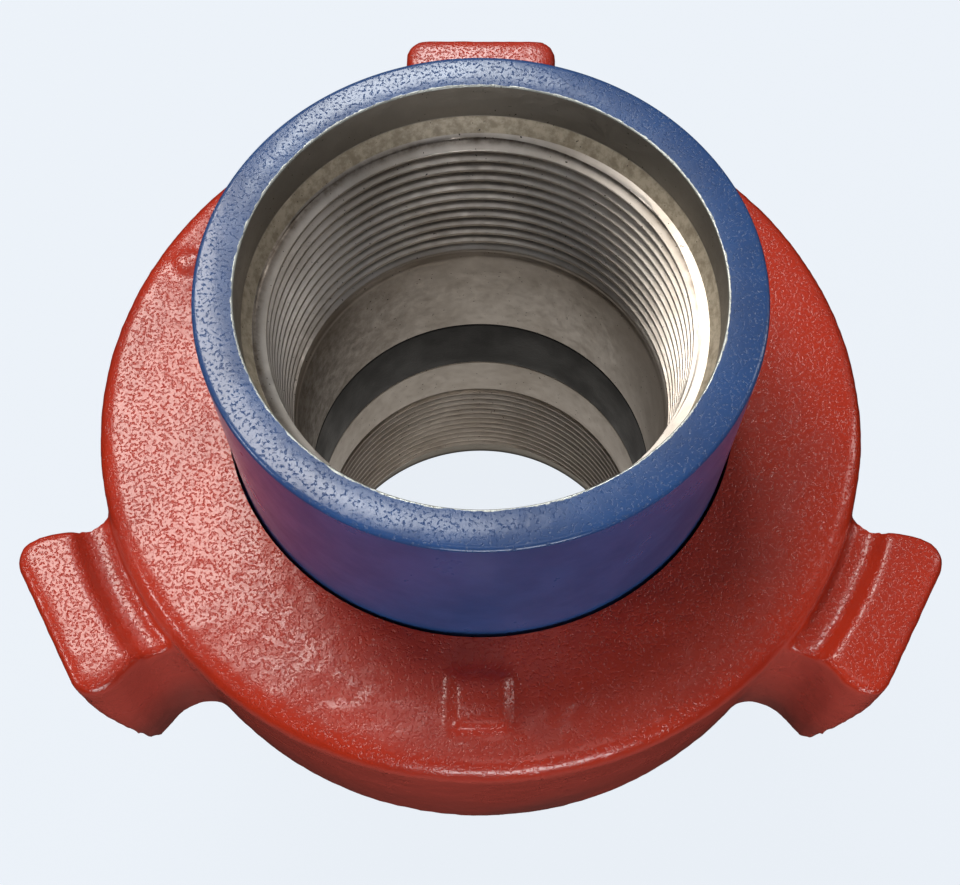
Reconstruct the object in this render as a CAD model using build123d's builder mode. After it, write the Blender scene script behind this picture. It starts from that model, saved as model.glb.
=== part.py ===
"""Hammer union for 3-inch pipe: two threaded subs, a seal ring and a three-lug wing nut.

Origin on the axis at the lower end face, +Z up through the upper sub. Millimetres.
"""

import os
from math import atan, cos, pi, radians, sin, sqrt, tan

from build123d import *

os.makedirs("parts", exist_ok=True)

# ---------------------------------------------------------------- pipe ends
pipe_end_r = 53.3  # outside of both subs at their pipe ends
recess_r = 45.6  # plain recess at the mouth of each pipe thread
recess_depth = 9.0
thread_ledge_r = 44.0  # small end of the lead-in cone, where the flat ledge starts
thread_ledge_depth = 12.6
pipe_thread_r = 40.75  # mean crest radius of the tapered pipe thread
pipe_thread_length = 41.1
flow_bore_r = 40.1
end_chamfer = 1.2

# ---------------------------------------------------------------- lengths up the axis
female_top_z = 101.4  # upper face of the female sub, which the other pieces are placed from
male_sub_length = 83.4
nose_depth = 15.4  # lower end of the male sub, below that face
seal_seat_depth = 34.8  # floor of the seal recess, below that face
nut_overlap = 27.0  # lower face of the nut, below that face
nut_height = 50.5

# ---------------------------------------------------------------- nut thread and seat
nut_thread_r = 66.0  # major radius of the square-shouldered nut thread
nut_thread_clearance = 0.1
nut_thread_length = 37.0  # along the female sub, from its top face down
thread_end_chamfer = 2.6
neck_length = 5.0  # plain relief below the nut thread
neck_depth = 3.4
hub_slope = 30.0  # degrees from the axis, between the neck and the pipe end
seat_angle = 45.0
seat_top_r = 60.4  # mouth of the concave seat
seat_gap = 0.3
nose_curve_r = 60.0
shoulder_r = 61.5  # load shoulder of the male sub
shoulder_length = 7.5
shoulder_gap = 0.1  # running gap under the nut's flange
shoulder_chamfer = 1.0

# ---------------------------------------------------------------- seal ring
seal_outer_r = 46.4
seal_fit_gap = 0.1
seal_lip_gap = 0.3  # between the lip and the male sub's nose
seal_lip_width = 2.6
seal_lip_height = 3.2

# ---------------------------------------------------------------- wing nut
nut_top_r = 82.0  # outside, just under the rounded shoulder
nut_bottom_r = 79.6
nut_shoulder_radius = 4.4
nut_bottom_radius = 2.6
nut_bore_gap = 0.6
flange_thickness = 15.0
flange_chamfer = 0.8
mouth_bevel = 2.4

lug_count = 3
lug_waist_distance = 86.5  # from the axis to the narrowest place beside the body
lug_flare_length = 7.0  # from the waist out to the head
lug_head_length = 7.5
lug_waist_half_width = 15.8
lug_head_half_width = 18.5
lug_root_inset = 0.5  # start of the root fillets, inside the nut's wall
lug_root_fillet = 9.0
lug_tip_corner = 5.0
lug_side_fillet = 6.0
lug_bottom_rise = 2.4  # lug's underside above the nut's lower face
lug_pad_drop = 2.6  # hammer pad below the nut's top face
lug_floor_drop = 6.2  # trough between pad and body, below the nut's top face
lug_trough_r = 87.0
lug_pad_start_r = 89.6
lug_toe_height = 26.0  # the striking face tapers in below this height above the lug's underside
lug_toe_inset = 4.5
lug_toe_radius = 6.0
lug_edge_fillet = 2.2

square_pad_side = 11.4
square_pad_r = 67.0
square_pad_height = 1.0
square_pad_corner = 2.6
cast_pad_taper = 12.0  # draft of the raised pads' sides, in degrees
round_boss_r = 3.0
round_boss_place_r = 73.4
round_boss_angle = 153.0

# ---------------------------------------------------------------- worked out from the above
nose_z = female_top_z - nose_depth
overall_length = nose_z + male_sub_length
seal_seat_z = female_top_z - seal_seat_depth
nut_bottom_z = female_top_z - nut_overlap
lug_head_distance = lug_waist_distance + lug_flare_length
lug_tip_distance = lug_head_distance + lug_head_length
nut_top_z = nut_bottom_z + nut_height
flange_under_z = nut_top_z - flange_thickness
shoulder_top_z = flange_under_z - shoulder_gap
shoulder_bottom_z = shoulder_top_z - shoulder_length
nut_bore_r = pipe_end_r + nut_bore_gap
nut_cavity_r = nut_thread_r + nut_thread_clearance
neck_r = nut_thread_r - neck_depth
nut_thread_bottom_z = female_top_z - nut_thread_length
neck_bottom_z = nut_thread_bottom_z - neck_length
seal_recess_r = seal_outer_r + seal_fit_gap
seal_top_z = nose_z - seal_lip_gap
lug_floor_z = nut_top_z - lug_floor_drop
lug_pad_z = nut_top_z - lug_pad_drop
lug_bottom_z = nut_bottom_z + lug_bottom_rise


def pipe_socket(mouth_z, inward):
    """Cutting body of one pipe end: recess, lead-in cone, ledge and thread bore.

    inward is the way into the metal along the axis: 1 for up, -1 for down.
    """
    thread_end = thread_ledge_depth + pipe_thread_length
    with BuildPart(mode=Mode.PRIVATE) as socket:
        with BuildSketch(Plane.XZ):
            with BuildLine():
                Polyline(
                    (0, mouth_z),
                    (recess_r, mouth_z),
                    (recess_r, mouth_z + inward * recess_depth),
                    (thread_ledge_r, mouth_z + inward * thread_ledge_depth),
                    (pipe_thread_r, mouth_z + inward * thread_ledge_depth),
                    (pipe_thread_r, mouth_z + inward * thread_end),
                    (0, mouth_z + inward * thread_end),
                    close=True,
                )
            make_face()
        revolve(axis=Axis.Z)
    return socket.part


# ---------------------------------------------------------------- female sub
seat_bottom_z = female_top_z - (seat_top_r - seal_recess_r) / tan(radians(seat_angle))
hub_bottom_z = neck_bottom_z - (neck_r - pipe_end_r) / tan(radians(hub_slope))

with BuildPart() as female_sub:
    with BuildSketch(Plane.XZ):
        with BuildLine():
            Polyline(
                (flow_bore_r, 0),
                (pipe_end_r - end_chamfer, 0),
                (pipe_end_r, end_chamfer),
                (pipe_end_r, hub_bottom_z),
                (neck_r, neck_bottom_z),
                (neck_r, nut_thread_bottom_z),
                (nut_thread_r, nut_thread_bottom_z + neck_depth),
                (nut_thread_r, female_top_z - thread_end_chamfer),
                (nut_thread_r - thread_end_chamfer, female_top_z),
                (seat_top_r, female_top_z),
                (seal_recess_r, seat_bottom_z),
                (seal_recess_r, seal_seat_z),
                (flow_bore_r, seal_seat_z),
                close=True,
            )
        make_face()
    revolve(axis=Axis.Z)
    add(pipe_socket(0, 1), mode=Mode.SUBTRACT)
female_sub.part.label = "female_sub"
export_step(female_sub.part, "parts/female_sub.step")

# ---------------------------------------------------------------- seal ring
with BuildPart() as seal_ring:
    with BuildSketch(Plane.XZ):
        with BuildLine():
            Polyline(
                (flow_bore_r, seal_seat_z),
                (seal_outer_r, seal_seat_z),
                (seal_outer_r, seal_top_z - seal_lip_height),
                (flow_bore_r + seal_lip_width, seal_top_z),
                (flow_bore_r, seal_top_z),
                close=True,
            )
        make_face()
    revolve(axis=Axis.Z)
seal_ring.part.label = "seal_ring"
export_step(seal_ring.part, "parts/seal_ring.step")

# ---------------------------------------------------------------- male sub
# The nose is an arc that comes within seat_gap of the seat, square to it, halfway up the seat.
seat_mid_r = (seat_top_r + seal_recess_r) / 2
seat_mid_z = (female_top_z + seat_bottom_z) / 2
nose_reach = nose_curve_r + seat_gap
nose_centre_r = seat_mid_r - nose_reach * cos(radians(seat_angle))
nose_centre_z = seat_mid_z + nose_reach * sin(radians(seat_angle))


def nose_radius_at(z):
    """Distance of the rounded nose from the axis at a height."""
    return nose_centre_r + sqrt(nose_curve_r**2 - (nose_centre_z - z) ** 2)


with BuildPart() as male_sub:
    with BuildSketch(Plane.XZ):
        with BuildLine():
            Polyline(
                (nose_radius_at(shoulder_bottom_z), shoulder_bottom_z),
                (shoulder_r - shoulder_chamfer, shoulder_bottom_z),
                (shoulder_r, shoulder_bottom_z + shoulder_chamfer),
                (shoulder_r, shoulder_top_z - shoulder_chamfer),
                (shoulder_r - shoulder_chamfer, shoulder_top_z),
                (pipe_end_r, shoulder_top_z),
                (pipe_end_r, overall_length - end_chamfer),
                (pipe_end_r - end_chamfer, overall_length),
                (flow_bore_r, overall_length),
                (flow_bore_r, nose_z),
                (nose_radius_at(nose_z), nose_z),
            )
            ThreePointArc(
                (nose_radius_at(nose_z), nose_z),
                (
                    nose_centre_r + nose_curve_r * cos(radians(seat_angle)),
                    nose_centre_z - nose_curve_r * sin(radians(seat_angle)),
                ),
                (nose_radius_at(shoulder_bottom_z), shoulder_bottom_z),
            )
        make_face()
    revolve(axis=Axis.Z)
    add(pipe_socket(overall_length, -1), mode=Mode.SUBTRACT)
male_sub.part.label = "male_sub"
export_step(male_sub.part, "parts/male_sub.step")

# ---------------------------------------------------------------- wing nut
lug_angles = [90 + turn * 360 / lug_count for turn in range(lug_count)]
lug_root_r = nut_bottom_r - lug_root_inset
waist_corner_r = sqrt(lug_waist_distance**2 + lug_waist_half_width**2)
head_corner_r = sqrt(lug_head_distance**2 + lug_head_half_width**2)


def corners_at(sketch, distance):
    """Corners of a sketch that lie at one distance from the axis."""
    return [v for v in sketch.vertices() if abs(sqrt(v.X**2 + v.Y**2) - distance) < 0.01]


with BuildPart() as wing_nut:
    # the lugs in plan: each is waisted beside the body and sweeps out of it in a fillet
    with BuildSketch(Plane.XY.offset(lug_bottom_z)) as lug_plan:
        with PolarLocations(0, lug_count, start_angle=lug_angles[0]):
            with BuildLine(mode=Mode.PRIVATE) as outline:
                Polyline(
                    (0, -lug_waist_half_width),
                    (lug_waist_distance, -lug_waist_half_width),
                    (lug_head_distance, -lug_head_half_width),
                    (lug_tip_distance, -lug_head_half_width),
                    (lug_tip_distance, lug_head_half_width),
                    (lug_head_distance, lug_head_half_width),
                    (lug_waist_distance, lug_waist_half_width),
                    (0, lug_waist_half_width),
                    close=True,
                )
            add(make_face(outline.line, mode=Mode.PRIVATE))
        Circle(lug_root_r)
        fillet(corners_at(lug_plan, lug_root_r), lug_root_fillet)
        fillet(corners_at(lug_plan, waist_corner_r), lug_side_fillet)
        fillet(corners_at(lug_plan, head_corner_r), lug_side_fillet)
        tip_corner_r = sqrt(lug_tip_distance**2 + lug_head_half_width**2)
        fillet(corners_at(lug_plan, tip_corner_r), lug_tip_corner)
    extrude(amount=lug_pad_z - lug_bottom_z)
    fillet(wing_nut.faces().sort_by(Axis.Z)[-1].edges(), lug_edge_fillet)
    fillet(wing_nut.faces().sort_by(Axis.Z)[0].edges(), lug_edge_fillet)
    # their profile about the axis: trough, hammer pad, striking face and tapered toe
    toe_lean = lug_toe_inset / lug_toe_height
    toe_r = lug_tip_distance - lug_toe_inset
    toe_angle = atan(toe_lean)
    toe_tangent = lug_toe_radius * tan((pi / 2 - toe_angle) / 2)
    with BuildSketch(Plane.XZ):
        with BuildLine():
            Line((0, lug_bottom_z), (toe_r - toe_tangent, lug_bottom_z))
            toe_end = (
                toe_r + toe_tangent * sin(toe_angle),
                lug_bottom_z + toe_tangent * cos(toe_angle),
            )
            RadiusArc((toe_r - toe_tangent, lug_bottom_z), toe_end, -lug_toe_radius)
            Polyline(
                toe_end,
                (toe_r + (lug_pad_z - lug_bottom_z) * toe_lean, lug_pad_z),
                (lug_pad_start_r, lug_pad_z),
                (lug_trough_r, lug_floor_z),
                (0, lug_floor_z),
                (0, lug_bottom_z),
            )
        make_face()
    revolve(axis=Axis.Z, mode=Mode.INTERSECT)
    # the drafted round body with its rounded rims
    with BuildSketch(Plane.XZ) as body_profile:
        with BuildLine():
            Polyline(
                (0, nut_bottom_z),
                (nut_bottom_r, nut_bottom_z),
                (nut_top_r, nut_top_z),
                (0, nut_top_z),
                close=True,
            )
        make_face()
        fillet(body_profile.vertices().sort_by(Axis.Y)[-2:].sort_by(Axis.X)[-1], nut_shoulder_radius)
        fillet(body_profile.vertices().sort_by(Axis.Y)[:2].sort_by(Axis.X)[-1], nut_bottom_radius)
    revolve(axis=Axis.Z)
    # small cast pads on the top face: a bare raised square in front and a round boss
    with BuildSketch(Plane.XY.offset(nut_top_z - square_pad_height)):
        with Locations((0, -square_pad_r)):
            RectangleRounded(square_pad_side, square_pad_side, square_pad_corner)
        with PolarLocations(round_boss_place_r, 1, start_angle=round_boss_angle):
            Circle(round_boss_r)
    extrude(amount=2 * square_pad_height, taper=cast_pad_taper)
    # bore through the flange, thread cavity below it, and their edges
    with BuildSketch(Plane.XZ):
        with BuildLine():
            Polyline(
                (0, nut_bottom_z),
                (nut_cavity_r + mouth_bevel, nut_bottom_z),
                (nut_cavity_r, nut_bottom_z + mouth_bevel),
                (nut_cavity_r, flange_under_z),
                (nut_bore_r, flange_under_z),
                (nut_bore_r, nut_top_z - flange_chamfer),
                (nut_bore_r + flange_chamfer, nut_top_z),
                (0, nut_top_z),
                close=True,
            )
        make_face()
    revolve(axis=Axis.Z, mode=Mode.SUBTRACT)
wing_nut.part.label = "wing_nut"
export_step(wing_nut.part, "parts/wing_nut.step")
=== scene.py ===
import math

import bmesh
import bpy
from mathutils import Matrix, Vector, noise


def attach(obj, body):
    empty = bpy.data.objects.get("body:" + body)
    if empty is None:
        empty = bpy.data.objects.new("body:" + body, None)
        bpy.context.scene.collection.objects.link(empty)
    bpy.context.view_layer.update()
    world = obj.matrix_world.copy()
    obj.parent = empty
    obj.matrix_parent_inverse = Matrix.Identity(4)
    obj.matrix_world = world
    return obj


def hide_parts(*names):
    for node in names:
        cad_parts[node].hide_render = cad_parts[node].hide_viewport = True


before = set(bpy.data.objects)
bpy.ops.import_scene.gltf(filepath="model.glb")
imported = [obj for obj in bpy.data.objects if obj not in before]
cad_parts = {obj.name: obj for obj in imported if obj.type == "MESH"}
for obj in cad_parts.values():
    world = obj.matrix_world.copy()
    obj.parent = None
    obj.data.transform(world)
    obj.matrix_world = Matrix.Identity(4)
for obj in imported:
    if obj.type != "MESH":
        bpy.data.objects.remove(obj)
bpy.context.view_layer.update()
print("frame loaded")

mm = 0.001
union = {  # sizes that several pieces share, in millimetres; depths count from the mouth of a sub
    "overall": 169.4, "pipeEnd": 53.3, "endChamfer": 1.2, "bore": 40.1, "boreFrom": 53.7,
    "recess": 45.6, "recessDepth": 9.0, "recessFillet": 0.5, "rimChamfer": 0.35, "coneEnd": 44.0,
    "paintOutside": 52.0, "endRing": 0.3, "columns": 240}


# turned metal: a bmesh is in millimetres until finishMesh makes it a piece
def radiusOf(point):
    return math.hypot(point[0], point[1])


def setRadius(vert, radius):
    factor = radius / radiusOf(vert.co)
    vert.co.x *= factor
    vert.co.y *= factor


def openLoop(bm, height, radius=None, reach=0.01):
    return [edge for edge in bm.edges if edge.is_boundary
            and all(abs(vert.co.z - height) < reach for vert in edge.verts)
            and (radius is None or all(abs(radiusOf(vert.co) - radius) < reach for vert in edge.verts))]


def drawOut(bm, edges, radius, height):  # one more ring of the turned wall
    grown = bmesh.ops.extrude_edge_only(bm, edges=edges)["geom"]
    for vert in (item for item in grown if isinstance(item, bmesh.types.BMVert)):
        setRadius(vert, radius)
        vert.co.z = height
    return [item for item in grown if isinstance(item, bmesh.types.BMEdge) and item.is_boundary]


def softened(corners, arcSteps=4):  # corners are (radius, height, cut-back); a cut-back one turns in an arc
    points = []
    for index, (radius, height, cutBack) in enumerate(corners):
        here = Vector((radius, height))
        if not cutBack:
            points.append(here)
            continue
        before, after = Vector(corners[index - 1][:2]), Vector(corners[index + 1][:2])
        start = here + (before - here).normalized() * cutBack
        end = here + (after - here).normalized() * cutBack
        for step in range(arcSteps + 1):
            share = step / arcSteps
            points.append(start * (1 - share) ** 2 + here * 2 * share * (1 - share) + end * share ** 2)
    return points


def turnOn(bm, edges, corners):
    for point in softened(corners):
        edges = drawOut(bm, edges, point.x, point.y)
    return edges


def threadStrip(bm, thread, columns, spareTurns=2):
    # the tooth outline of every turn stands on one line and is wound with a rise of one pitch a turn;
    # the spare turns are cut off again at both ends
    pitch = thread["pitch"]
    turns = math.ceil((thread["top"] - thread["bottom"]) / pitch) + spareTurns + 1
    start = thread["bottom"] - spareTurns * pitch + thread["phase"] * pitch
    line = [bm.verts.new((thread["crestRadius"] + offset, 0, start + (turn + share) * pitch))
            for turn in range(turns) for share, offset in thread["tooth"]]
    edges = [bm.edges.new(pair) for pair in zip(line, line[1:])]
    bmesh.ops.spin(bm, geom=line + edges, cent=(0, 0, 0), axis=(0, 0, 1), angle=2 * math.pi, steps=columns,
                   dvec=(0, 0, pitch / columns), use_merge=False, use_duplicate=False)
    bmesh.ops.remove_doubles(bm, verts=bm.verts, dist=0.003)
    for height, way in ((thread["bottom"], -1), (thread["top"], 1)):
        bmesh.ops.bisect_plane(bm, geom=bm.verts[:] + bm.edges[:] + bm.faces[:], dist=0.0005,
                               plane_co=(0, 0, height), plane_no=(0, 0, way), clear_outer=True)


def paintOver(bm, inside, end):  # paint on the end ring and the outside up to its end, bare steel elsewhere
    for face in bm.faces:
        middle = face.calc_center_median()
        radius = radiusOf(middle)
        onRing = radius > inside and middle.z < union["endRing"]
        onOutside = radius > union["paintOutside"] and middle.z < end
        face.material_index = 0 if onRing or onOutside else 1


def finishMesh(bm, name, materials, sharpAngle=30):
    bmesh.ops.remove_doubles(bm, verts=bm.verts, dist=0.002)
    bmesh.ops.recalc_face_normals(bm, faces=bm.faces)
    for face in bm.faces:
        face.smooth = True
    for edge in bm.edges:
        edge.smooth = edge.calc_face_angle(0) < math.radians(sharpAngle)
    bmesh.ops.scale(bm, vec=(mm, mm, mm), verts=bm.verts)
    mesh = bpy.data.meshes.new(name)
    bm.to_mesh(mesh)
    bm.free()
    piece = bpy.data.objects.new(name, mesh)
    bpy.context.scene.collection.objects.link(piece)
    for material in materials:
        mesh.materials.append(material)
    return piece


# shader nodes
def addNode(tree, kind, settings=None, inputs=None, output=0):
    node = tree.nodes.new(kind)
    for key, value in (settings or {}).items():
        setattr(node, key, value)
    for key, value in (inputs or {}).items():
        if isinstance(value, bpy.types.NodeSocket):
            tree.links.new(value, node.inputs[key])
        else:
            node.inputs[key].default_value = value
    return node.outputs[output]


def startMaterial(name, **evenSockets):  # what is even all over is set on the shader's own socket
    material = bpy.data.materials.new(name)
    material.use_nodes = True
    tree = material.node_tree
    shader = tree.nodes["Principled BSDF"]
    for key, value in evenSockets.items():
        shader.inputs[key.replace("_", " ")].default_value = value
    return material, tree, shader, addNode(tree, "ShaderNodeTexCoord", output="Object")


def feed(tree, shader, **sockets):
    for key, value in sockets.items():
        tree.links.new(value, shader.inputs[key.replace("_", " ")])


def noiseAt(tree, place, scale, detail=2, roughness=0.5):
    return addNode(tree, "ShaderNodeTexNoise", None,
                   {"Vector": place, "Scale": scale, "Detail": detail, "Roughness": roughness})


def ramp(tree, value, low, high, fromValue=0.0, toValue=1.0):
    return addNode(tree, "ShaderNodeMapRange", {"interpolation_type": "SMOOTHSTEP"},
                   {"Value": value, "From Min": low, "From Max": high,
                    "To Min": fromValue, "To Max": toValue})


def calc(tree, operation, first, second):
    return addNode(tree, "ShaderNodeMath", {"operation": operation}, {0: first, 1: second})


def mixColour(tree, factor, first, second):
    return addNode(tree, "ShaderNodeMix", {"data_type": "RGBA"}, {0: factor, 6: first, 7: second}, output=2)


def bump(tree, height, distance, strength, under=None):
    inputs = {"Height": height, "Distance": distance, "Strength": strength}
    if under is not None:
        inputs["Normal"] = under
    return addNode(tree, "ShaderNodeBump", None, inputs)


def stretched(tree, place, scale):
    return addNode(tree, "ShaderNodeMapping", {"vector_type": "POINT"}, {"Vector": place, "Scale": scale})


def polar(tree, place):  # distance from the axis, and height
    split = addNode(tree, "ShaderNodeSeparateXYZ", None, {"Vector": place}).node
    flat = addNode(tree, "ShaderNodeCombineXYZ", None, {"X": split.outputs["X"], "Y": split.outputs["Y"]})
    radius = addNode(tree, "ShaderNodeVectorMath", {"operation": "LENGTH"}, {0: flat}, output="Value")
    return radius, split.outputs["Z"]


def ringMask(tree, radius, start, full, still, end):  # rises to 1 and falls again over radii in millimetres
    return calc(tree, "MULTIPLY", ramp(tree, radius, start * mm, full * mm),
                ramp(tree, radius, end * mm, still * mm))


# view
view = {"place": (0.0, -0.1365, 0.3841), "tilt": 25.725, "turn": 0.054, "lens": 51.43, "sensor": 36,
        "nearest": 0.01}
camera = bpy.data.objects.new("camera", bpy.data.cameras.new("camera"))
camera.location = view["place"]
camera.rotation_euler = (math.radians(view["tilt"]), 0, math.radians(view["turn"]))
camera.data.lens = view["lens"]
camera.data.sensor_width = view["sensor"]
camera.data.clip_start = view["nearest"]
bpy.context.scene.collection.objects.link(camera)
bpy.context.scene.camera = camera
bpy.context.scene.view_settings.view_transform = "Standard"

# floor and the pale wall that it runs on into, all round; millimetres
surroundings = {
    "radius": 4000, "drop": 0.2, "sides": 96, "wallColumns": 64, "wallRows": 32,
    "colour": (0.847, 0.896, 0.956, 1), "cloudColour": (0.84, 0.89, 0.95, 1), "cloudScale": 3.0,
    "glow": 0.955,
    "underGlow": (0.025, 0.026, 0.028, 1), "skyColour": (0.80, 0.86, 0.95, 1),
    "belowColour": (0.035, 0.03, 0.028, 1), "skyStrength": 0.16}
floorMaterial, tree, shader, place = startMaterial(
    "paleFloor", Base_Color=surroundings["underGlow"], Specular_IOR_Level=0.0, Roughness=0.9,
    Emission_Strength=surroundings["glow"])
cloud = noiseAt(tree, place, surroundings["cloudScale"], 3)
feed(tree, shader, Emission_Color=mixColour(tree, cloud, surroundings["colour"], surroundings["cloudColour"]))
bm = bmesh.new()
bmesh.ops.create_circle(bm, cap_ends=True, radius=surroundings["radius"], segments=surroundings["sides"])
bmesh.ops.translate(bm, vec=(0, 0, -surroundings["drop"]), verts=bm.verts)
floor = finishMesh(bm, "floor", [floorMaterial])
bm = bmesh.new()
bmesh.ops.create_uvsphere(bm, u_segments=surroundings["wallColumns"], v_segments=surroundings["wallRows"],
                          radius=surroundings["radius"])
bmesh.ops.bisect_plane(bm, geom=bm.verts[:] + bm.edges[:] + bm.faces[:], dist=0.01,
                       plane_co=(0, 0, 0), plane_no=(0, 0, -1), clear_outer=True)
bmesh.ops.reverse_faces(bm, faces=bm.faces)
wall = finishMesh(bm, "backdrop", [floorMaterial])
for sheet in (floor, wall):
    sheet.visible_diffuse = False
    sheet.visible_glossy = False
wall.visible_shadow = False

world = bpy.data.worlds.new("studio")
world.use_nodes = True
bpy.context.scene.world = world
tree = world.node_tree
facing = addNode(tree, "ShaderNodeSeparateXYZ", None,
                 {"Vector": addNode(tree, "ShaderNodeTexCoord", output="Generated")}, output="Z")
sky = mixColour(tree, ramp(tree, facing, -0.05, 0.1), surroundings["belowColour"], surroundings["skyColour"])
tree.links.new(sky, tree.nodes["Background"].inputs["Color"])
tree.nodes["Background"].inputs["Strength"].default_value = surroundings["skyStrength"]

lights = [  # name, place, height aimed at on the axis, width, length, power, colour; metres and watts
    ("windowLeft", (-0.70, 0.80, 1.60), 0.12, 0.62, 1.05, 26, (1.0, 0.95, 0.88)),
    ("windowFar", (-0.13, 1.18, 1.40), 0.12, 0.42, 0.40, 9, (0.97, 1.0, 0.98)),
    ("windowNear", (-0.11, 0.56, 1.60), 0.12, 0.28, 0.24, 2.6, (0.98, 1.0, 0.99)),
    ("windowLow", (-1.35, -0.30, 0.80), 0.12, 0.35, 0.35, 5, (1.0, 0.99, 0.95)),
    ("ceiling", (0.15, -0.35, 1.60), 0.12, 0.50, 0.50, 1.2, (1.0, 0.98, 0.96)),
    ("stripRight", (1.10, 0.35, 0.65), 0.10, 0.20, 1.00, 3, (1.0, 0.97, 0.94)),
    ("fillFront", (0.20, -1.30, 0.26), 0.08, 0.90, 0.40, 13, (0.97, 0.98, 1.0))]
boreGlow = {  # shines up through the bore
    "place": (0, 0, 0.0004), "width": 0.0904, "power": 0.0095, "colour": (1.0, 0.95, 0.88)}


def addLamp(name, shape, width, power, colour, spot, turn):
    lamp = bpy.data.lights.new(name, "AREA")
    lamp.shape = shape
    lamp.size = width
    lamp.energy = power
    lamp.color = colour
    holder = bpy.data.objects.new(name, lamp)
    holder.location = spot
    holder.rotation_euler = turn
    bpy.context.scene.collection.objects.link(holder)
    return holder


for name, spot, aimHeight, width, length, power, colour in lights:
    turn = (Vector((0, 0, aimHeight)) - Vector(spot)).to_track_quat("-Z", "Y").to_euler()
    addLamp(name, "RECTANGLE", width, power, colour, spot, turn).data.size_y = length
glow = addLamp("boreGlow", "DISK", boreGlow["width"], boreGlow["power"], boreGlow["colour"],
               boreGlow["place"], (math.pi, 0, 0))
glow.visible_camera = False
print("view and lights ready")

# red paint on the rough casting: pebbled on top, a painted greyish reflection on the side walls, darker and
# rougher in patches towards the lower edge
# sides: a painted greyish reflection, mixed onto the walls that face sideways
redFinish = {
    "bright": (0.37, 0.025, 0.009, 1), "deep": (0.31, 0.020, 0.008, 1), "sides": (0.40, 0.066, 0.050, 1),
    "lowerDarkening": (0.13, 0.035, 0.028, 1), "specks": (0.10, 0.012, 0.008, 1), "darkeningFrom": 108, "darkeningFull": 78}
redPaint, tree, shader, place = startMaterial(
    "redPaintOnCasting", Specular_IOR_Level=0.25, Coat_Weight=0.5, Coat_Roughness=0.12)
height = polar(tree, place)[1]
lumps = noiseAt(tree, place, 170)
pebbles = noiseAt(tree, place, 1450, 2, 0.55)
peel = noiseAt(tree, place, 2600)
patch = noiseAt(tree, place, 38, 4, 0.6)
upward = addNode(tree, "ShaderNodeSeparateXYZ", None,
                 {"Vector": addNode(tree, "ShaderNodeTexCoord", output="Normal")}, output="Z")
# darker and rougher in patches towards the lower edge of the nut
lowerDarkening = calc(tree, "MULTIPLY", ramp(tree, height, redFinish["darkeningFrom"] * mm, redFinish["darkeningFull"] * mm),
            ramp(tree, patch, 0.30, 0.70, 0.35, 0.95))
specks = ramp(tree, noiseAt(tree, place, 900, 3, 0.7), 0.70, 0.78)
shade = mixColour(tree, ramp(tree, patch, 0.35, 0.68), redFinish["bright"], redFinish["deep"])
# painted reflection: the side walls turn greyer and paler the more they face sideways
shade = mixColour(tree, ramp(tree, upward, 0.55, 0.15, 0.0, 0.8), shade, redFinish["sides"])
shade = mixColour(tree, lowerDarkening, shade, redFinish["lowerDarkening"])
shade = mixColour(tree, calc(tree, "MULTIPLY", specks, 0.5), shade, redFinish["specks"])
gloss = calc(tree, "ADD", ramp(tree, patch, 0.3, 0.7, 0.22, 0.34), calc(tree, "MULTIPLY", lowerDarkening, 0.2))
onTop = ramp(tree, upward, 0.55, 0.90, 0.22, 1.0)
plateaus = calc(tree, "MULTIPLY", ramp(tree, pebbles, 0.31, 0.50), onTop)
skin = bump(tree, lumps, 0.0004, 0.30)
skin = bump(tree, plateaus, 0.00016, 0.65, skin)
skin = bump(tree, calc(tree, "MULTIPLY", peel, onTop), 0.00010, 0.22, skin)
feed(tree, shader, Base_Color=shade, Roughness=gloss, Normal=skin, Coat_Normal=skin)

# blue paint: stippled on the end face, worn off along the rim of the recess
blueFinish = {
    "light": (0.020, 0.060, 0.180, 1), "dark": (0.015, 0.044, 0.138, 1), "worn": (0.30, 0.31, 0.29, 1),
    "wornReach": 0.4, "wornBlend": 0.1, "stippleFrom": 1.4, "stippleFull": 0.4}
bluePaint, tree, shader, place = startMaterial(
    "bluePaintOnSteel", Specular_IOR_Level=0.2, Coat_Weight=0.6, Coat_Roughness=0.16)
radius, height = polar(tree, place)
patch = noiseAt(tree, place, 60, 4, 0.6)
grain = noiseAt(tree, place, 1500, 3, 0.6)
ragged = ramp(tree, noiseAt(tree, place, 260, 4, 0.7), 0.2, 0.8, -0.0003, 0.0003)
rimFrom = union["recess"] + blueFinish["wornReach"]
bareRim = ramp(tree, calc(tree, "ADD", radius, ragged), (rimFrom + blueFinish["wornBlend"]) * mm,
               (rimFrom - blueFinish["wornBlend"]) * mm)
shade = mixColour(tree, ramp(tree, patch, 0.3, 0.7), blueFinish["light"], blueFinish["dark"])
shade = mixColour(tree, bareRim, shade, blueFinish["worn"])
onFace = ramp(tree, height, (union["overall"] - blueFinish["stippleFrom"]) * mm,
              (union["overall"] - blueFinish["stippleFull"]) * mm)
flecks = calc(tree, "MULTIPLY", ramp(tree, grain, 0.32, 0.46), ramp(tree, onFace, 0, 1, 0.06, 1.0))
skin = bump(tree, noiseAt(tree, place, 260), 0.0003, 0.2)
skin = bump(tree, flecks, 0.00013, 0.6, skin)
feed(tree, shader, Base_Color=shade, Normal=skin, Coat_Normal=skin,
     Metallic=calc(tree, "MULTIPLY", bareRim, 0.5), Roughness=ramp(tree, patch, 0.3, 0.7, 0.26, 0.40))
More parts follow.
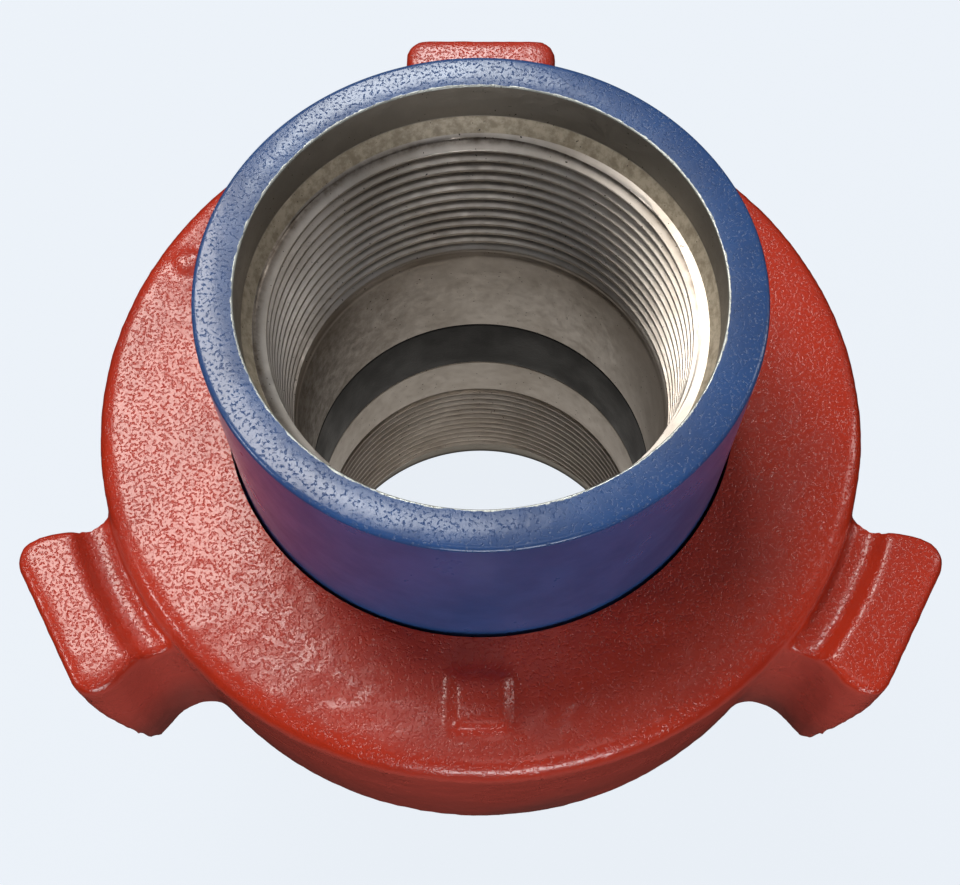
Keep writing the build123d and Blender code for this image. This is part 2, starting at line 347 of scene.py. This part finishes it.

# machined steel: painted shade with grime in the thread grooves, oil on the lead-in cone, a darker recess of
# painted shade over an oil film, small pits
steelFinish = {
    "clean": (0.62, 0.57, 0.52, 1), "clouded": (0.46, 0.41, 0.36, 1), "rootShadeAndGrime": (0.10, 0.075, 0.055, 1),
    # recess: a darker colour for the recess wall, painted shade over an oil film
    "thinOil": (0.50, 0.43, 0.33, 1), "thickOil": (0.30, 0.25, 0.18, 1), "recess": (0.30, 0.275, 0.24, 1),
    "pits": (0.03, 0.022, 0.016, 1), "coneRing": (43.95, 44.0, 45.5, 45.56),
    "recessRing": (45.5, 45.56, 45.7, 45.9)}
boreSteel, tree, shader, place = startMaterial("machinedSteel")
radius = polar(tree, place)[0]
groove = addNode(tree, "ShaderNodeAttribute", {"attribute_name": "grooveDepth"}, output="Fac")
cloud = noiseAt(tree, place, 55, 4, 0.65)
fleck = noiseAt(tree, place, 420, 4, 0.7)
# painted shade with grime: the deeper in the thread groove, the darker, mottled by the fleck noise
rootShadeAndGrime = calc(tree, "MULTIPLY", ramp(tree, groove, 0.15, 0.9), ramp(tree, fleck, 0.2, 0.8, 0.55, 1.0))
onCone = ringMask(tree, radius, *steelFinish["coneRing"])
inRecess = ringMask(tree, radius, *steelFinish["recessRing"])
oiled = mixColour(tree, ramp(tree, fleck, 0.35, 0.65), steelFinish["thinOil"], steelFinish["thickOil"])
pits = ramp(tree, noiseAt(tree, place, 1500, 1), 0.745, 0.765)
shade = mixColour(tree, ramp(tree, cloud, 0.35, 0.70), steelFinish["clean"], steelFinish["clouded"])
shade = mixColour(tree, rootShadeAndGrime, shade, steelFinish["rootShadeAndGrime"])
shade = mixColour(tree, onCone, shade, oiled)
# painted shade over an oil film: the recess wall is darker
shade = mixColour(tree, inRecess, shade, steelFinish["recess"])
shade = mixColour(tree, pits, shade, steelFinish["pits"])
turningMarks = noiseAt(tree, stretched(tree, place, (2, 2, 1400)), 1.0, 3, 0.6)
skin = bump(tree, turningMarks, 0.00006, 0.5)
skin = bump(tree, noiseAt(tree, place, 240, 4, 0.7), 0.00018, 0.22, skin)
feed(tree, shader, Base_Color=shade, Normal=skin, Roughness=ramp(tree, fleck, 0.25, 0.75, 0.34, 0.50),
     Metallic=ramp(tree, onCone, 0, 1, 0.9, 0.25))

rubberFinish = {"black": (0.022, 0.023, 0.026, 1), "bloom": (0.036, 0.037, 0.041, 1)}
rubber, tree, shader, place = startMaterial("blackRubber")
cloud = noiseAt(tree, place, 90, 4, 0.6)
shade = mixColour(tree, ramp(tree, cloud, 0.3, 0.75), rubberFinish["black"], rubberFinish["bloom"])
skin = bump(tree, noiseAt(tree, place, 1300, 3, 0.6), 0.00015, 0.4)
feed(tree, shader, Base_Color=shade, Normal=skin, Roughness=ramp(tree, cloud, 0.3, 0.7, 0.42, 0.60))
print("finishes ready")

# pipe thread, seen from the mouth inward; the tooth is (share of pitch, depth below the crest)
pipeThread = {
    "pitch": 3.175, "bottom": 12.6, "top": 52.6, "phase": 0.035, "crestRadius": 41.4, "taper": 1 / 32,
    "depth": 2.3, "fadeLength": 5.0, "leadInSlope": 2.2, "crestOverBore": 0.05,
    "tooth": [(0.0, 0.0), (0.13, 0.0), (0.15, 0.1), (0.24, 0.67), (0.33, 1.23), (0.42, 1.79), (0.49, 2.22),
              (0.52, 2.3), (0.58, 2.3), (0.61, 2.22), (0.68, 1.79), (0.77, 1.23), (0.86, 0.67), (0.95, 0.1)]}


def pipeThreadFrom(bm, columns, outsideCorners):  # the mouth and the outside after it are turned in one run
    threadStrip(bm, pipeThread, columns)
    depthLayer = bm.verts.layers.float.new("grooveDepth")
    leastCrest = union["bore"] + pipeThread["crestOverBore"]
    for vert in bm.verts:
        inward = vert.co.z - pipeThread["bottom"]
        depth = radiusOf(vert.co) - pipeThread["crestRadius"]
        crest = max(pipeThread["crestRadius"] - inward * pipeThread["taper"], leastCrest)
        fade = min(1.0, max(0.0, (pipeThread["top"] - vert.co.z) / pipeThread["fadeLength"]))
        vert[depthLayer] = depth / pipeThread["depth"] * fade
        leadIn = union["coneEnd"] - inward * pipeThread["leadInSlope"]
        setRadius(vert, max(crest + depth * fade, leadIn))
    mouth = [(union["coneEnd"], pipeThread["bottom"], 0),
             (union["recess"], union["recessDepth"], union["recessFillet"]),
             (union["recess"], 0.0, union["rimChamfer"]), (union["pipeEnd"], 0.0, union["endChamfer"])]
    outside = turnOn(bm, openLoop(bm, pipeThread["bottom"]), mouth + outsideCorners)
    return outside, openLoop(bm, pipeThread["top"])


# male sub: built from its mouth inward, then turned over onto its place
maleSub = {"shoulder": 61.5, "shoulderHigh": 59.6, "shoulderLow": 67.1, "shoulderCut": 0.9, "neckCut": 0.8,
           "noseDepth": 83.4, "noseCentre": (10.81, 32.31), "noseCurve": 60.0, "noseSteps": 12,
           "noseCut": 0.4,
           "paintInside": 45.55, "paintEnd": 59.7}


def noseCorner(step):  # the rounded nose, from under the shoulder to its tip
    drop = (maleSub["noseDepth"] - maleSub["shoulderLow"]) * step / maleSub["noseSteps"]
    depth = maleSub["shoulderLow"] + drop
    centreRadius, centreDepth = maleSub["noseCentre"]
    reach = math.sqrt(maleSub["noseCurve"] ** 2 - (depth - centreDepth) ** 2)
    return centreRadius + reach, depth, maleSub["noseCut"] if step == maleSub["noseSteps"] else 0


bm = bmesh.new()
outside, inner = pipeThreadFrom(bm, union["columns"], [
    (union["pipeEnd"], maleSub["shoulderHigh"], maleSub["neckCut"]),
    (maleSub["shoulder"], maleSub["shoulderHigh"], maleSub["shoulderCut"]),
    (maleSub["shoulder"], maleSub["shoulderLow"], maleSub["shoulderCut"]),
    *(noseCorner(step) for step in range(maleSub["noseSteps"] + 1)),
    (union["bore"], maleSub["noseDepth"], maleSub["noseCut"]), (union["bore"], union["boreFrom"], 0)])
bmesh.ops.bridge_loops(bm, edges=outside + inner)
paintOver(bm, maleSub["paintInside"], maleSub["paintEnd"])
bmesh.ops.rotate(bm, cent=(0, 0, 0), matrix=Matrix.Rotation(math.pi, 3, "X"), verts=bm.verts)
bmesh.ops.translate(bm, vec=(0, 0, union["overall"]), verts=bm.verts)
male = finishMesh(bm, "maleSub", [bluePaint, boreSteel])
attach(male, "male_half")
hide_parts("male_sub")
print("male sub turned:", len(male.data.polygons), "faces")

# nut thread: three threads to the inch, square-shouldered with slightly sloped flanks
nutThread = {
    "pitch": 25.4 / 3, "bottom": 64.4, "top": 101.4, "phase": 0.0, "crestRadius": 62.6, "majorRadius": 66.0,
    "columns": 180,
    "tooth": [(0.0, 0.0), (0.12, 0.0), (0.24, 0.0), (0.36, 0.0), (0.45, 0.0), (0.465, 0.1), (0.535, 3.3),
              (0.55, 3.4), (0.64, 3.4), (0.73, 3.4), (0.82, 3.4), (0.91, 3.4), (0.925, 3.3), (0.985, 0.1)]}

# female sub: pipe thread below, nut thread outside
femaleSub = {
    "top": 101.4, "topRing": (61.4, 62.0), "threadEndChamfer": 2.6, "seatRadius": 60.4, "seatCut": 0.3,
    "seatLow": 87.5, "seatLowCut": 0.5, "sealRecess": 46.5, "sealFloor": 66.6, "sealFloorCut": 0.4,
    "neck": 62.6, "neckLow": 59.4, "hubTop": 62.4, "hubTopHeight": 59.1, "hubLow": 43.3, "hubCut": 3.0,
    "paintInside": 46.2, "paintEnd": 60.0}
bm = bmesh.new()
threadStrip(bm, nutThread, nutThread["columns"])
for vert in bm.verts:
    runOut = nutThread["crestRadius"] + vert.co.z - nutThread["bottom"]
    chamfer = nutThread["majorRadius"] - femaleSub["threadEndChamfer"] + femaleSub["top"] - vert.co.z
    setRadius(vert, min(radiusOf(vert.co), runOut, chamfer, nutThread["majorRadius"]))
threadTop, threadLow = openLoop(bm, nutThread["top"]), openLoop(bm, nutThread["bottom"])
turnOn(bm, threadTop, [(femaleSub["topRing"][1], femaleSub["top"], 0)])
turnOn(bm, threadLow, [(femaleSub["neck"], femaleSub["neckLow"], 0)])
sleeve = bmesh.new()
inner = pipeThreadFrom(sleeve, union["columns"], [
    (union["pipeEnd"], femaleSub["hubLow"], femaleSub["hubCut"]),
    (femaleSub["hubTop"], femaleSub["hubTopHeight"], 0)])[1]
turnOn(sleeve, inner, [
    (union["bore"], union["boreFrom"], 0), (union["bore"], femaleSub["sealFloor"], femaleSub["sealFloorCut"]),
    (femaleSub["sealRecess"], femaleSub["sealFloor"], 0),
    (femaleSub["sealRecess"], femaleSub["seatLow"], femaleSub["seatLowCut"]),
    (femaleSub["seatRadius"], femaleSub["top"], femaleSub["seatCut"]),
    (femaleSub["topRing"][0], femaleSub["top"], 0)])
sleeveMesh = bpy.data.meshes.new("sleeve")
sleeve.to_mesh(sleeveMesh)
sleeve.free()
bm.from_mesh(sleeveMesh)
bpy.data.meshes.remove(sleeveMesh)
topInner, topOuter = (openLoop(bm, femaleSub["top"], radius) for radius in femaleSub["topRing"])
bmesh.ops.bridge_loops(bm, edges=topOuter + topInner)
neckLoop = openLoop(bm, femaleSub["neckLow"], femaleSub["neck"])
bmesh.ops.bridge_loops(bm, edges=neckLoop + openLoop(bm, femaleSub["hubTopHeight"], femaleSub["hubTop"]))
paintOver(bm, femaleSub["paintInside"], femaleSub["paintEnd"])
female = finishMesh(bm, "femaleSub", [bluePaint, boreSteel])
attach(female, "female_half")
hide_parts("female_sub")
print("female sub turned:", len(female.data.polygons), "faces")

# seal ring: turned from a loop half-way up its bore, over the lip and back
sealRing = {"outside": 46.4, "floor": 66.6, "top": 85.7, "lipWidth": 2.6, "lipHeight": 3.2, "startAt": 70.0,
            "closeAt": 69.9, "midBore": 78.0}
bm = bmesh.new()
ring = bmesh.ops.create_circle(bm, cap_ends=False, radius=union["bore"], segments=union["columns"])["verts"]
bmesh.ops.translate(bm, vec=(0, 0, sealRing["startAt"]), verts=ring)
edges = turnOn(bm, bm.edges[:], [
    (union["bore"], sealRing["midBore"], 0), (union["bore"], sealRing["top"], 0.4),
    (union["bore"] + sealRing["lipWidth"], sealRing["top"], 0.5),
    (sealRing["outside"], sealRing["top"] - sealRing["lipHeight"], 0.6),
    (sealRing["outside"], sealRing["floor"], 0.3), (union["bore"], sealRing["floor"], 0.3),
    (union["bore"], sealRing["closeAt"], 0)])
bmesh.ops.bridge_loops(bm, edges=edges + openLoop(bm, sealRing["startAt"]))
seal = finishMesh(bm, "sealRing", [rubber])
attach(seal, "female_half")
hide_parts("seal_ring")
print("seal ring made")

# wing nut: the casting is roughened first, then bored and threaded; casting sizes are in metres
wingNut = {
    "low": 74.4, "top": 124.9, "bore": 53.9, "boreCut": 0.9, "flangeUnder": 109.9, "flangeCut": 0.5,
    "cavity": 66.3, "cavityCut": 0.6, "insideReach": 69.0, "threadTop": 106.4, "threadPlay": 0.025,
    "ridgeRadius": 63.0, "leadInDepth": 4.0, "leadInSlope": 1.4, "mouth": 69.6, "sharpAngle": 38,
    "threadStep": 0.1, "pastTop": (58.0, 129.0), "pastMouth": 70.0, "bareFrom": 74.3, "bareTo": 109.7,
    "ridge": [(0.0, 0.0), (0.1, 0.0), (0.2, 0.0), (0.3, 0.0), (0.40, 0.0), (0.415, 0.1), (0.485, 3.2),
              (0.50, 3.3), (0.60, 3.3), (0.70, 3.3), (0.80, 3.3), (0.90, 3.3), (0.915, 3.2), (0.985, 0.1)]}
casting = {
    "voxel": 0.00102, "lumpSize": 0.0085, "lumpHeight": 0.00008, "grainSize": 0.0024, "grainHeight": 0.00010,
    "sinkIn": 0.00018, "grainShift": (7, 3, 1), "topFrom": 0.120, "mergeReach": 0.000002,
    "flatFrom": 0.98, "flangeReach": 0.0002, "flangeRadius": 0.0662,
    "pad": {"reach": 0.067, "half": 0.0046, "foot": 0.0064, "rise": 0.0006}}


def isMachined(face):  # the round walls inside the nut
    middle = face.calc_center_median()
    return (radiusOf(middle) < wingNut["insideReach"] * mm
            and wingNut["bareFrom"] * mm < middle.z < wingNut["bareTo"] * mm)


def isInside(face):  # walls that face the axis, and the flange's underside
    middle = face.calc_center_median()
    facesAxis = face.normal.dot(middle * Vector((1, 1, 0))) < 0 and abs(face.normal.z) < casting["flatFrom"]
    underFlange = abs(middle.z - wingNut["flangeUnder"] * mm) < casting["flangeReach"]
    return (facesAxis and radiusOf(middle) < wingNut["insideReach"] * mm
            or underFlange and radiusOf(middle) < casting["flangeRadius"])


def applyModifiers(piece):
    bpy.context.view_layer.update()
    shaped = bpy.data.meshes.new_from_object(piece.evaluated_get(bpy.context.evaluated_depsgraph_get()))
    piece.modifiers.clear()
    old = piece.data
    piece.data = shaped
    bpy.data.meshes.remove(old)


def padRise(point):  # the bare square on the top face stands out a little more than in the solid
    pad = casting["pad"]
    away = max(abs(point.x), abs(point.y + pad["reach"]))
    raised = min(1.0, max(0.0, (pad["foot"] - away) / (pad["foot"] - pad["half"])))
    return pad["rise"] * raised * raised * (3 - 2 * raised) if point.z > casting["topFrom"] else 0.0


bm = bmesh.new()
bm.from_mesh(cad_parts["wing_nut"].data)
bmesh.ops.remove_doubles(bm, verts=bm.verts, dist=casting["mergeReach"])
bmesh.ops.delete(bm, geom=[face for face in bm.faces if isInside(face)], context="FACES")
bmesh.ops.holes_fill(bm, edges=[edge for edge in bm.edges if edge.is_boundary], sides=0)
bmesh.ops.recalc_face_normals(bm, faces=bm.faces)
print("open edges in the blank:", sum(edge.is_boundary for edge in bm.edges))
mesh = bpy.data.meshes.new("wingNut")
bm.to_mesh(mesh)
bm.free()
nut = bpy.data.objects.new("wingNut", mesh)
bpy.context.scene.collection.objects.link(nut)
nut.data.materials.append(redPaint)
nut.data.materials.append(boreSteel)
remesh = nut.modifiers.new("skin", "REMESH")
remesh.mode = "VOXEL"
remesh.voxel_size = casting["voxel"]
remesh.use_smooth_shade = True
smooth = nut.modifiers.new("relax", "SMOOTH")
smooth.factor = 0.5
smooth.iterations = 2
applyModifiers(nut)

bm = bmesh.new()
bm.from_mesh(nut.data)
bm.normal_update()
moves = []
for vert in bm.verts:
    lump = noise.noise(vert.co / casting["lumpSize"]) * casting["lumpHeight"]
    grainPlace = vert.co / casting["grainSize"] + Vector(casting["grainShift"])
    grain = noise.noise(grainPlace) * casting["grainHeight"]
    moves.append(vert.normal * (lump + grain - casting["sinkIn"]) + Vector((0, 0, padRise(vert.co))))
for vert, move in zip(bm.verts, moves):
    vert.co += move
bm.to_mesh(nut.data)
bm.free()
print("casting skinned:", len(nut.data.polygons), "faces")

# the cutter leaves the bore, the cavity and the nut thread, and runs on past both faces of the nut
bm = bmesh.new()
ridge = dict(nutThread, bottom=wingNut["low"], top=wingNut["threadTop"], crestRadius=wingNut["ridgeRadius"],
             tooth=wingNut["ridge"])
turnsUp = (wingNut["low"] - nutThread["bottom"]) / nutThread["pitch"]
ridge["phase"] = nutThread["phase"] + wingNut["threadPlay"] - turnsUp
threadStrip(bm, ridge, nutThread["columns"])
for vert in bm.verts:
    intoMouth = wingNut["leadInDepth"] - (vert.co.z - wingNut["low"])
    opening = wingNut["ridgeRadius"] + max(0.0, intoMouth) * wingNut["leadInSlope"]
    setRadius(vert, max(radiusOf(vert.co), opening))
above = turnOn(bm, openLoop(bm, wingNut["threadTop"]), [
    (wingNut["cavity"], wingNut["threadTop"] + wingNut["threadStep"], 0),
    (wingNut["cavity"], wingNut["flangeUnder"], wingNut["cavityCut"]),
    (wingNut["bore"], wingNut["flangeUnder"], wingNut["flangeCut"]),
    (wingNut["bore"], wingNut["top"], wingNut["boreCut"]), (*wingNut["pastTop"], 0)])
bmesh.ops.holes_fill(bm, edges=above, sides=0)
below = turnOn(bm, openLoop(bm, wingNut["low"]), [
    (wingNut["mouth"], wingNut["low"], 0), (wingNut["mouth"], wingNut["pastMouth"], 0)])
bmesh.ops.holes_fill(bm, edges=below, sides=0)
cutter = finishMesh(bm, "nutCutter", [redPaint, boreSteel])
for face in cutter.data.polygons:
    face.material_index = 1
cut = nut.modifiers.new("bored", "BOOLEAN")
cut.operation = "DIFFERENCE"
cut.solver = "MANIFOLD"
cut.object = cutter
applyModifiers(nut)
bpy.data.objects.remove(cutter)

bm = bmesh.new()
bm.from_mesh(nut.data)
print("open edges in the nut:", sum(not edge.is_manifold for edge in bm.edges))
for face in bm.faces:
    face.smooth = True
    face.material_index = 1 if isMachined(face) else 0
for edge in bm.edges:
    edge.smooth = edge.calc_face_angle(0) < math.radians(wingNut["sharpAngle"])
bm.to_mesh(nut.data)
bm.free()
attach(nut, "wing_nut")
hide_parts("wing_nut")
print("wing nut bored:", sum(len(face.vertices) - 2 for face in nut.data.polygons), "triangles")
